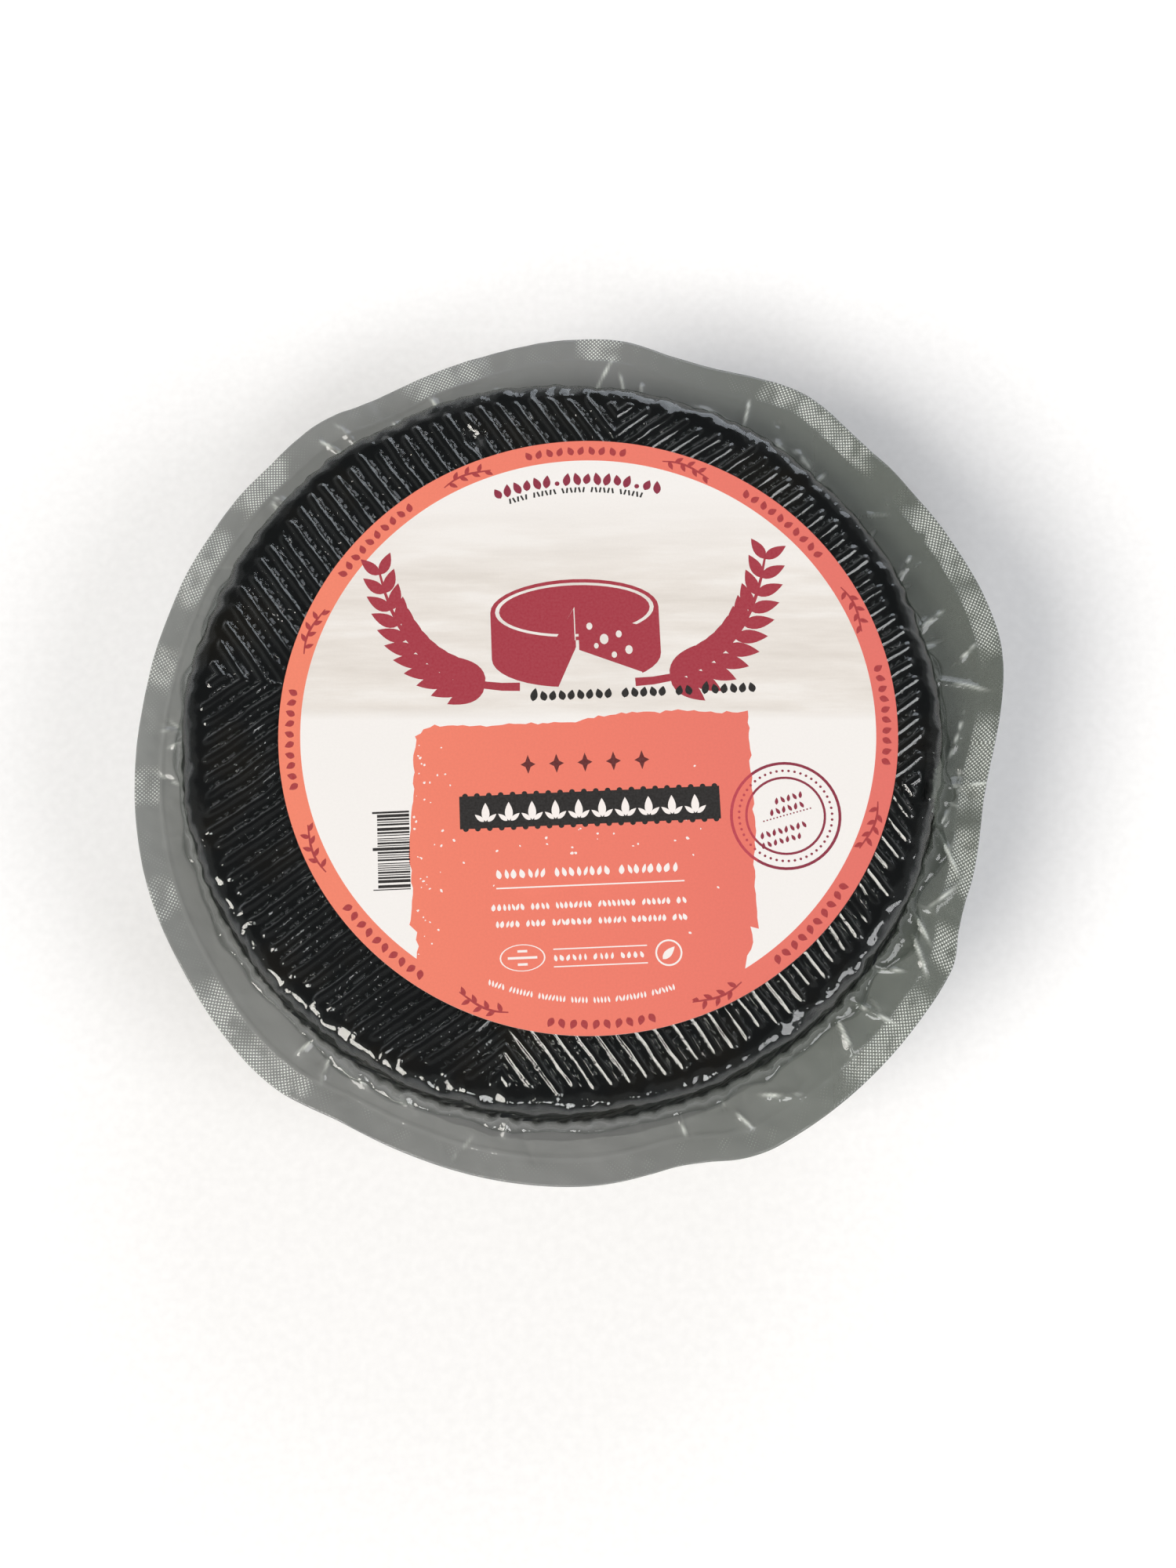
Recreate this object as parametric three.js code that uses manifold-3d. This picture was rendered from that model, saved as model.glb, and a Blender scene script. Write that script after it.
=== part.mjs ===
// A pressed cheese wheel in its vacuum pack: the coated wheel, the two webs of clear film that
// are drawn tight round it, the flange where they are welded into one band, and the round paper
// label on top. Millimetres, +Z up. The origin is the centre of the flat base of the pack.

import * as THREE from "three";
import { mergeVertices } from "three/addons/utils/BufferGeometryUtils.js";
import Module from "manifold-3d";

const wasm = await Module();
wasm.setup();

// Driving dimensions
const packRadius = 113.4; // outside of the film, at the fullest part of the side wall
const packHeight = 85; // base to top, film included, label left out
const wallBulge = 1.2; // how far the middle of the side wall stands out past its two ends
const edgeRound = 5.5; // rounding between the side wall and each flat face
const filmThickness = 0.5;
const flangeThickness = 0.8; // both webs, welded together
const gap = 0.3; // clearance between pieces that touch
const sealHeight = 68; // where the two webs meet
const labelRadius = 90.6;
const labelThickness = 0.3;
const labelCentre = new THREE.Vector2(7.7, 0.3); // the label is stuck on a little off centre
const ridgePitch = 4.8; // from one pressed ridge to the next
const ridgeWidth = 1.6;
const ridgeHeight = 0.8;
const ridgeFieldRadius = 106; // the pressed ridges stop here, short of the rounded edge
const ridgeTurn = -9.4; // degrees from +X to the first line where the ridges change direction

// Crests and hollows of the trimmed edge of the flange: degrees from +X, and radius
const flangeEdge = [
  [17, 137.4], [46, 134.7], [56, 137], [71, 131.5], [85, 134], [119, 127.8], [127, 129.8],
  [136, 128.8], [166, 127.4], [208, 129.9], [230, 132.1], [242, 129.1], [274, 131], [285, 129.6],
  [296, 134.5], [328, 133.2], [337, 128.4], [351, 126.7],
];

// Waves that lift and drop the flange's edge: how many round it, height and phase in radians
const flangeWaves = [
  [2, 1.1, 0.4],
  [5, 0.9, 2.3],
  [9, 0.5, 1.1],
];

const turnSegments = 96;
const arcSteps = 4;
const wallSteps = 2;
const flangeSteps = 4;

const full = 2 * Math.PI;
const wallEnd = packRadius - wallBulge; // side wall radius where the rounded edges begin
const filmSpace = filmThickness + gap;
const flatRadius = wallEnd - edgeRound;

// Radius of the pack's side wall at a height, fullest at half height
function wallRadius(z) {
  const middle = packHeight / 2;
  const away = (z - middle) / (middle - edgeRound);
  return packRadius - wallBulge * away * away;
}

// Points of the pack's outline, inset by a distance, from the base up to a height on the wall.
// The flat face can be set further in than the wall.
function lowerOutline(inset, topZ, faceInset = inset) {
  const points = [new THREE.Vector2(0, faceInset)];
  for (let i = 0; i <= arcSteps; i++) {
    const angle = (i / arcSteps) * (Math.PI / 2);
    const r = flatRadius + (edgeRound - inset) * Math.sin(angle);
    points.push(new THREE.Vector2(r, edgeRound - (edgeRound - faceInset) * Math.cos(angle)));
  }
  for (let i = 1; i <= wallSteps; i++) {
    const z = edgeRound + (i / wallSteps) * (topZ - edgeRound);
    points.push(new THREE.Vector2(wallRadius(z) - inset, z));
  }
  return points;
}

// The same from a height on the wall up to the middle of the top
function upperOutline(inset, bottomZ, faceInset = inset) {
  const edgeZ = packHeight - edgeRound;
  const points = [new THREE.Vector2(wallRadius(bottomZ) - inset, bottomZ)];
  for (let i = 0; i <= arcSteps; i++) {
    const angle = (i / arcSteps) * (Math.PI / 2);
    const r = flatRadius + (edgeRound - inset) * Math.cos(angle);
    points.push(new THREE.Vector2(r, edgeZ + (edgeRound - faceInset) * Math.sin(angle)));
  }
  points.push(new THREE.Vector2(0, packHeight - faceInset));
  return points;
}

// Radius of the flange's trimmed edge, eased from each crest or hollow to the next
function edgeRadius(angle) {
  const degrees = ((THREE.MathUtils.radToDeg(angle) % 360) + 360) % 360;
  const count = flangeEdge.length;
  for (let i = 0; i < count; i++) {
    const [start, startRadius] = flangeEdge[i];
    const [next, endRadius] = flangeEdge[(i + 1) % count];
    const end = next > start ? next : next + 360;
    const here = degrees < flangeEdge[0][0] ? degrees + 360 : degrees;
    if (here >= start && here <= end) {
      const blend = THREE.MathUtils.smoothstep(here, start, end);
      return THREE.MathUtils.lerp(startRadius, endRadius, blend);
    }
  }
  return packRadius;
}

function edgeLift(angle) {
  return flangeWaves.reduce((sum, [count, height, phase]) => {
    return sum + height * Math.sin(count * angle + phase);
  }, 0);
}

// Pulls a turned ring, one unit wide from its root, out to the trimmed edge and sets it in waves
function shapeFlange(ring, root) {
  const position = ring.getAttribute("position");
  for (let i = 0; i < position.count; i++) {
    const x = position.getX(i);
    const y = position.getY(i);
    const angle = Math.atan2(y, x);
    const out = Math.hypot(x, y) - root;
    const radius = root + out * (edgeRadius(angle) - root);
    const z = position.getZ(i) + edgeLift(angle) * out * out;
    position.setXYZ(i, radius * Math.cos(angle), radius * Math.sin(angle), z);
  }
  return ring;
}

// Turns a profile of radius and height about the Z axis
function turned(profile) {
  return new THREE.LatheGeometry(profile, turnSegments).rotateX(Math.PI / 2);
}

// Top web: over the top, round the edge and down to the seal
function upperFilm() {
  const hem = sealHeight + gap / 2;
  const inside = upperOutline(filmThickness, hem).reverse();
  return turned([...inside, ...upperOutline(0, hem)]);
}

// Bottom web: under the base and up the side wall to the seal
function lowerFilm() {
  const hem = sealHeight - gap / 2;
  const inside = lowerOutline(filmThickness, hem).reverse();
  return turned([...lowerOutline(0, hem), ...inside]);
}

// The flange: both webs welded into one band that stands out from the side wall
function sealedFlange() {
  const root = wallRadius(sealHeight) + gap;
  const under = sealHeight - flangeThickness / 2;
  const over = sealHeight + flangeThickness / 2;
  const out = Array.from({ length: flangeSteps + 1 }, (_, i) => root + i / flangeSteps);
  const profile = [
    ...out.map((r) => new THREE.Vector2(r, under)),
    ...out.map((r) => new THREE.Vector2(r, over)).reverse(),
    new THREE.Vector2(root, under),
  ];
  return shapeFlange(turned(profile), root);
}

// A closed geometry as a manifold solid
function toSolid(geometry) {
  const bare = geometry.clone();
  bare.deleteAttribute("normal");
  bare.deleteAttribute("uv");
  const merged = mergeVertices(bare, 1e-4);
  return new wasm.Manifold(new wasm.Mesh({
    numProp: 3,
    vertProperties: new Float32Array(merged.getAttribute("position").array),
    triVerts: new Uint32Array(merged.index.array),
  }));
}

function toGeometry(solid) {
  const { vertProperties, triVerts } = solid.getMesh();
  const geometry = new THREE.BufferGeometry();
  geometry.setAttribute("position", new THREE.BufferAttribute(new Float32Array(vertProperties), 3));
  geometry.setIndex(new THREE.BufferAttribute(new Uint32Array(triVerts), 1));
  geometry.computeVertexNormals();
  return geometry;
}

// The ridges of one quarter of a face. They run along the quarter's middle line, so each one
// meets its neighbour from the next quarter in a mitre.
function quarterRidges(faceZ, middleLine) {
  const ridges = [];
  const across = Math.floor((ridgeFieldRadius * Math.SQRT1_2) / ridgePitch);
  for (let i = -across; i <= across; i++) {
    const side = i * ridgePitch;
    const start = Math.abs(side) - ridgeWidth / 2;
    const length = Math.sqrt(ridgeFieldRadius ** 2 - side ** 2) - start;
    if (length > ridgePitch) {
      const ridge = new THREE.BoxGeometry(length, ridgeWidth, 2 * ridgeHeight);
      ridge.translate(start + length / 2, side, faceZ);
      ridge.rotateZ(middleLine);
      ridges.push(toSolid(ridge));
    }
  }
  return ridges;
}

// The wheel: one solid, with the press boards' herringbone standing up from both flat faces
function cheeseWheel() {
  const seam = packHeight / 2;
  const faceInset = filmSpace + ridgeHeight;
  const profile = [
    ...lowerOutline(filmSpace, seam, faceInset),
    ...upperOutline(filmSpace, seam, faceInset).slice(1),
  ];
  let wheel = toSolid(turned(profile));
  for (const faceZ of [faceInset, packHeight - faceInset]) {
    for (let quarter = 0; quarter < 4; quarter++) {
      const middleLine = THREE.MathUtils.degToRad(ridgeTurn + 45) + (quarter * full) / 4;
      const ridges = quarterRidges(faceZ, middleLine);
      wheel = ridges.reduce((solid, ridge) => solid.add(ridge), wheel);
    }
  }
  return toGeometry(wheel);
}

function paperLabel() {
  const z = packHeight + gap;
  const profile = [
    new THREE.Vector2(0, z),
    new THREE.Vector2(labelRadius, z),
    new THREE.Vector2(labelRadius, z + labelThickness),
    new THREE.Vector2(0, z + labelThickness),
  ];
  return turned(profile).translate(labelCentre.x, labelCentre.y, 0);
}

function addPiece(group, name, geometry, look) {
  const mesh = new THREE.Mesh(geometry, new THREE.MeshStandardMaterial({ metalness: 0, ...look }));
  mesh.name = name;
  group.add(mesh);
}

const clearFilm = { color: 0xb4b8b4, roughness: 0.12, transparent: true, opacity: 0.35 };

const cheesePack = new THREE.Group();
addPiece(cheesePack, "cheese_wheel", cheeseWheel(), { color: 0x15171a, roughness: 0.4 });
addPiece(cheesePack, "lower_film", lowerFilm(), clearFilm);
addPiece(cheesePack, "upper_film", upperFilm(), clearFilm);
addPiece(cheesePack, "sealed_flange", sealedFlange(), clearFilm);
addPiece(cheesePack, "paper_label", paperLabel(), { color: 0xece9e6, roughness: 0.7 });

export default cheesePack;
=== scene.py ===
import math

import bmesh
import bpy
import numpy as np
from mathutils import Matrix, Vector
from mathutils.geometry import delaunay_2d_cdt


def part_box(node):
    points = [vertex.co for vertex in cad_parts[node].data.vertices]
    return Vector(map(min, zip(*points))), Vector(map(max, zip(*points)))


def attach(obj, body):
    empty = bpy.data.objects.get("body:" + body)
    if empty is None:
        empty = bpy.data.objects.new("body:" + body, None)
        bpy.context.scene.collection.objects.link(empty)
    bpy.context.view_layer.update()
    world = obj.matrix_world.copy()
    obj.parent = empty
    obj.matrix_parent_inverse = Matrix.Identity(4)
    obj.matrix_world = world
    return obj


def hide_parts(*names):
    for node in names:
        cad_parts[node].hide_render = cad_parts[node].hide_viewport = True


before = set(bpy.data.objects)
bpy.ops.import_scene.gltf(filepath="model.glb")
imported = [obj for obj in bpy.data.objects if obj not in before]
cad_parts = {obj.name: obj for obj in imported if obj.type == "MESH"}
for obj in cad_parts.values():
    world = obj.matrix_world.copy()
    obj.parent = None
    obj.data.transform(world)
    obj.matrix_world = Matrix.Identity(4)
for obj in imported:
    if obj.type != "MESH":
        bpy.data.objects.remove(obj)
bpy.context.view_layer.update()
mm = 0.001  # shapes below are worked out in millimetres
print("frame loaded:", sorted(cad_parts))


# Small helpers: colours, nodes, noise, meshes

def toLinear(code):
    # an sRGB hex colour as linear red, green and blue, with full alpha
    parts = [int(code[i:i + 2], 16) / 255 for i in (1, 3, 5)]
    return tuple(c / 12.92 if c <= 0.04045 else ((c + 0.055) / 1.055) ** 2.4 for c in parts) + (1.0,)


def addNode(tree, kind, values=None, links=None, stops=None, **settings):
    # one node, with its settings, its socket values, what feeds its sockets and a ramp's stops
    node = tree.nodes.new(kind)
    for key, value in settings.items():
        setattr(node, key, value)
    for key, value in (values or {}).items():
        node.inputs[key].default_value = value
    for key, source in (links or {}).items():
        tree.links.new(source, node.inputs[key])
    while stops and len(node.color_ramp.elements) < len(stops):
        node.color_ramp.elements.new(1.0)
    for index, (position, code) in enumerate(stops or ()):
        node.color_ramp.elements[index].position = position
        node.color_ramp.elements[index].color = toLinear(code)
    return node


def newMaterial(name):
    material = bpy.data.materials.new(name)
    material.use_nodes = True
    material.node_tree.nodes.clear()
    return material, material.node_tree


def unevenness(points, size, seed, waves=16):
    # smooth random relief of about -1 to 1, with features of a size in millimetres
    dice = np.random.default_rng(seed)
    total = np.zeros(points.shape[:-1])
    for _ in range(waves):
        direction = dice.normal(size=points.shape[-1])
        direction /= np.linalg.norm(direction)
        length = 2 * size * dice.uniform(0.7, 1.6)
        total += np.sin(points @ direction * (2 * math.pi / length) + dice.uniform(0, 2 * math.pi))
    return total / math.sqrt(waves)


def smoothStep(low, high, value):
    t = np.clip((value - low) / (high - low), 0, 1)
    return t * t * (3 - 2 * t)


def meshPiece(name, points, faces, node, materials, faceMaterials=None, weld=True,
              marks=None):
    # a finished piece from points in millimetres; it stands for a CAD node and rides on root
    mesh = bpy.data.meshes.new(name)
    mesh.from_pydata((np.asarray(points) * mm).tolist(), [], faces)
    if faceMaterials is not None:
        mesh.polygons.foreach_set("material_index", faceMaterials)
    for key, values in (marks or {}).items():
        attribute = mesh.attributes.new(key, "FLOAT", "POINT")
        attribute.data.foreach_set("value", values)
    if weld:
        bm = bmesh.new()
        bm.from_mesh(mesh)
        bmesh.ops.remove_doubles(bm, verts=bm.verts, dist=2e-6)
        bmesh.ops.recalc_face_normals(bm, faces=bm.faces)
        bm.to_mesh(mesh)
        bm.free()
    mesh.polygons.foreach_set("use_smooth", [True] * len(mesh.polygons))
    mesh.update()
    piece = bpy.data.objects.new(name, mesh)
    bpy.context.scene.collection.objects.link(piece)
    for material in materials:
        mesh.materials.append(material)
    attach(piece, "root")
    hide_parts(node)
    return piece


def gridFaces(rows, columns):
    # quads of a grid that closes round its columns
    faces = []
    for i in range(rows - 1):
        for j in range(columns):
            k = (j + 1) % columns
            faces.append((i * columns + j, i * columns + k, (i + 1) * columns + k, (i + 1) * columns + j))
    return faces


# The pack's main sizes, from the frame

lowerLow, lowerHigh = (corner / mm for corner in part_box("lower_film"))
upperLow, upperHigh = (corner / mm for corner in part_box("upper_film"))
labelLow, labelHigh = (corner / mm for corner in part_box("paper_label"))

pack = {
    "radius": lowerHigh.x,  # the film at the fullest part of the side wall
    "height": upperHigh.z,
    "sealHeight": (upperLow.z + lowerHigh.z) / 2,
    "wallBulge": 1.2,
    "edgeRound": 5.5,
}
flatRadius = pack["radius"] - pack["wallBulge"] - pack["edgeRound"]


def wallRadius(z):
    middle = pack["height"] / 2
    away = (z - middle) / (middle - pack["edgeRound"])
    return pack["radius"] - pack["wallBulge"] * away * away


# The herringbone that the press boards leave, shared by the rind and the film on it

ridge = {
    "pitch": 4.8,
    "height": 0.64,
    "core": 0.38,  # half width of a ridge's rounded crown
    "foot": 1.05,  # half width where the rind's ridge meets the flat
    "filmFoot": 1.6,  # the film bridges the corner, so its ridge is wider at the foot
    "turn": -9.4,  # degrees from +X to the first line where the ridges change direction
    "endRadius": 105.4,
    "endSpread": 1.1,
    "samples": (-2.4, -1.4, -1.02, -0.7, -0.35, 0, 0.35, 0.7, 1.02, 1.4),
    "coreRadius": 79.0,  # the label hides what lies inside this
    "wobble": 0.3,
}


def quarterOffsets():
    # distances from a quarter's middle line, several to each ridge, spine to spine;
    # their number is brought to a multiple of 3, so that the plait's repeats come out whole
    span = flatRadius * math.sqrt(0.5)
    count = int(span / ridge["pitch"]) + 1
    found = {round(k * ridge["pitch"] + s, 4) for k in range(-count, count + 1) for s in ridge["samples"]}
    found = sorted(o for o in found if abs(o) < span - 0.2)
    while (len(found) + 1) % 3:
        found.remove(max(found, key=abs))
        found = [o for o in found if -o in found]
    return np.array([-span] + found)


offsets = quarterOffsets()
columns = 4 * len(offsets)
quarterOf = np.repeat(np.arange(4), len(offsets))
offsetOf = np.tile(offsets, 4)
quarterAngle = np.radians(ridge["turn"] + 45) + quarterOf * math.pi / 2
rimAngle = quarterAngle + np.arcsin(offsetOf / flatRadius)


def faceGrid(hiddenRows, shownRows):
    # points of a flat face in each quarter's own frame: rows run from the spines to the rim
    start = np.abs(offsetOf)
    end = np.sqrt(flatRadius ** 2 - offsetOf ** 2)
    hidden = np.sqrt(np.maximum(ridge["coreRadius"] ** 2 - offsetOf ** 2, 0))
    hidden = np.maximum(hidden, start + 0.1 * (end - start))
    rows = [start + (hidden - start) * i / hiddenRows for i in range(hiddenRows)]
    steps = [1 - (1 - i / shownRows) ** 1.7 for i in range(shownRows + 1)]  # finer towards the rim
    rows += [hidden + (end - hidden) * step for step in steps]
    return np.array(rows)


def ridgeProfile(along, foot):
    # 0 on the flats to 1 on a ridge's crown, with round ends short of the rim
    number = np.round(offsetOf / ridge["pitch"])
    middle = number * ridge["pitch"]
    x, y = turnedPoints(along)
    jitter = unevenness(np.stack([x, y], -1), 5.0, 11)
    endAt = ridge["endRadius"] + ridge["endSpread"] * jitter
    end = np.sqrt(np.maximum(endAt ** 2 - middle ** 2, 0)) - ridge["foot"]
    past = np.maximum(along - end, 0)
    distance = np.hypot(offsetOf - middle, past)
    worn = 0.84 + 0.2 * unevenness(np.stack([x, y], -1), 9.0, 12)
    return np.clip(worn, 0.35, 1.0) * (1 - smoothStep(ridge["core"], foot, distance))


def turnedPoints(along):
    cos, sin = np.cos(quarterAngle), np.sin(quarterAngle)
    return along * cos - offsetOf * sin, along * sin + offsetOf * cos


def wobbled(x, y):
    # pressed curd is never quite straight
    flat = np.stack([x, y], -1)
    for size, part in ((16.0, 1.0), (4.0, 0.35)):
        x = x + part * ridge["wobble"] * unevenness(flat, size, 21)
        y = y + part * ridge["wobble"] * unevenness(flat, size, 22)
    return x, y


# The plaited belt's print round the side

plait = {
    "bands": 6,
    "repeatColumns": 12,
    "height": 0.7,
    "core": 0.45,
    "foot": 1.1,
    "filmFoot": 1.5,
    "samples": (-2.42, -1.9, -1.45, -1.02, -0.7, -0.35, 0, 0.35, 0.7, 1.02, 1.45, 1.9),
}
repeats = columns // plait["repeatColumns"]
repeatAngle = 2 * math.pi / repeats
plaitStep = np.tile(np.array(plait["samples"]), repeats)  # across a ridge, in mm
plaitAngle = rimAngle[0] + np.repeat(np.arange(repeats), plait["repeatColumns"]) * repeatAngle
plaitAngle = plaitAngle + (plaitStep - plaitStep[0]) * math.sqrt(2) / pack["radius"]


def plaitShift(z):
    # how far the slanting ridges have run round the wall at a height, in mm
    span = (pack["height"] - 2 * pack["edgeRound"]) / plait["bands"]
    place = (z - pack["edgeRound"]) / span
    return span * abs((place + 1) % 2 - 1)


def plaitRelief(z, foot):
    # raised slanting ridges, half above and half below the wall, that fade at its two edges
    fade = smoothStep(0, 5, z - pack["edgeRound"]) * smoothStep(0, 5, pack["height"] - pack["edgeRound"] - z)
    return plait["height"] * fade * (0.5 - smoothStep(plait["core"], foot, np.abs(plaitStep)))


# Flaws of this wheel: a pit in the top and a chip out of the rim

flaw = {
    "pit": (-27.0, 92.6, 2.7, 1.7),  # x, y, radius and depth
    "chipAngle": math.radians(-8.6),
    "chipHalfLength": 7.5,
    "chipDepth": 4.2,
    "chipFloor": 70.0,
}


def pitDepth(x, y):
    px, py, radius, depth = flaw["pit"]
    return depth * np.exp(-(((x - px) ** 2 + (y - py) ** 2) / radius ** 2) ** 1.6)


def chipDepth(angle, radius, z):
    away = (angle - flaw["chipAngle"] + math.pi) % (2 * math.pi) - math.pi
    arc = away * pack["radius"] / flaw["chipHalfLength"]
    edge = 1 + 0.18 * np.sin(angle * 300) + 0.12 * np.sin(angle * 710 + 1)
    return flaw["chipDepth"] * np.exp(-(arc * edge) ** 4) * smoothStep(100, 106, radius) * (
        smoothStep(flaw["chipFloor"] - 6, flaw["chipFloor"] + 3, z))


# One skin over the wheel, at a depth below the outside of the film

lumps = {
    # height, size across and seed; the edge is lumpy where the curd was squeezed out by the board
    "face": (0.05, 6.0, 31),
    "edge": (0.28, 3.6, 32),
    "edgeFine": (0.11, 1.5, 34),
    "wall": (0.22, 14.0, 33),
}


def lumpy(place, kind):
    height, size, seed = lumps[kind]
    return height * unevenness(place, size, seed)


def skinPoint(angle, radius, z, outward):
    # moves a point of the skin by the lumps, along its outward direction
    x, y = radius * np.cos(angle), radius * np.sin(angle)
    solid = np.stack([x, y, np.full_like(x, 1.0) * z], -1)
    rim = smoothStep(flatRadius - 2, flatRadius + 3, radius)
    rise = lumpy(solid, "face") * (1 - rim)
    rise = rise + rim * (lumpy(solid, "edge") + lumpy(solid, "edgeFine") + lumpy(solid, "wall"))
    radius = radius + rise * outward[0]
    return np.stack([radius * np.cos(angle), radius * np.sin(angle), z + rise * outward[1]], -1)


def faceRows(inset, foot, hiddenRows, shownRows, top):
    # rows of a flat face, spines to rim
    along = faceGrid(hiddenRows, shownRows)
    height = ridgeProfile(along, foot) * ridge["height"]
    x, y = wobbled(*turnedPoints(along))
    rise = height - ridge["height"] - inset
    if top:
        rise = rise - pitDepth(x, y)
    z = pack["height"] + rise if top else -rise
    points = skinPoint(np.arctan2(y, x), np.hypot(x, y), z, (0.0, 1.0 if top else -1.0))
    return list(points)


def edgeRows(inset, rows, top):
    # rows round the rounded edge, from the rim of the face to the wall
    out = []
    start = wallColumns(pack["height"] - pack["edgeRound"] if top else pack["edgeRound"])
    for i in range(1, rows + 1):
        turn = math.pi / 2 * i / rows
        blend = smoothStep(0, 1, i / rows)
        angle = rimAngle + (start - rimAngle) * blend
        radius = flatRadius + (pack["edgeRound"] - inset) * math.sin(turn)
        drop = (pack["edgeRound"] - ridge["height"] - inset) * math.cos(turn)
        z = pack["height"] - pack["edgeRound"] + drop if top else pack["edgeRound"] - drop
        outward = (math.sin(turn), math.cos(turn) if top else -math.cos(turn))
        x, y = wobbled(radius * np.cos(angle), radius * np.sin(angle))
        out.append(skinPoint(np.arctan2(y, x), np.hypot(x, y), np.full(columns, z), outward))
    return out


def wallColumns(z):
    return plaitAngle - plaitShift(z) / pack["radius"]


def wallHeights(high, low, steps):
    # rows down the wall, with one at every change of direction of the plait
    span = (pack["height"] - 2 * pack["edgeRound"]) / plait["bands"]
    turns = [pack["edgeRound"] + span * i for i in range(plait["bands"] + 1)]
    even = [low + (high - low) * i / steps for i in range(steps + 1)]
    wanted = [z for z in turns if low < z < high]
    even = [z for z in even if all(abs(z - t) > 0.9 for t in wanted)]
    return sorted(wanted + even, reverse=True)


def wallRow(inset, foot, z):
    angle = wallColumns(z)
    radius = wallRadius(z) - inset + plaitRelief(z, foot)
    return skinPoint(angle, radius, np.full(columns, z), (1.0, 0.0))


# Materials

def coatedRind():
    # black food coating brushed on a pressed rind: deep black, satin, a little brown where thin
    material, tree = newMaterial("brushed black cheese coating")
    place = addNode(tree, "ShaderNodeTexCoord").outputs["Object"]
    cloud = addNode(tree, "ShaderNodeTexNoise", {"Scale": 1 / 0.022, "Detail": 4.0}, {"Vector": place})
    tone = addNode(tree, "ShaderNodeValToRGB", links={"Fac": cloud.outputs["Fac"]},
                   stops=[(0.36, "#0e1113"), (0.52, "#121416"), (0.68, "#1b1814")])
    curd = addNode(tree, "ShaderNodeTexNoise", {"Scale": 1 / 0.0012, "Detail": 3.0}, {"Vector": place})
    rough = addNode(tree, "ShaderNodeMapRange", {"To Min": 0.42, "To Max": 0.62},
                    {"Value": curd.outputs["Fac"]})
    bump = addNode(tree, "ShaderNodeBump", {"Strength": 0.35, "Distance": 0.0002},
                   {"Height": curd.outputs["Fac"]})
    shader = addNode(tree, "ShaderNodeBsdfPrincipled", {"IOR": 1.45, "Specular IOR Level": 0.15}, {
        "Base Color": tone.outputs["Color"], "Roughness": rough.outputs["Result"],
        "Normal": bump.outputs["Normal"]})
    addNode(tree, "ShaderNodeOutputMaterial", links={"Surface": shader.outputs["BSDF"]})
    return material


film = {
    "clearTint": "#eceeec",
    "weldTint": "#dadcd9",  # two webs welded together look grey
    # the welded webs are a plain grey on one side and run greener and darker to the other; the darkening
    # towards +X is painted shade, the light falling from the other side
    "weldGreyAndShadeTones": ((0.0, "#8f918f"), (0.55, "#868786"), (0.85, "#6f746d"), (1.0, "#666b63")),
    "weldHaze": 0.6,
    # white painted on the knurl dots where they catch the light: painted highlight
    "knurlGlintTone": "#f1f6ee",
    "gloss": 0.035,
    "index": 1.5,
    "mostGloss": 0.06,  # a cap chosen for the look: without it the edge shows a pale ring
}


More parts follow.
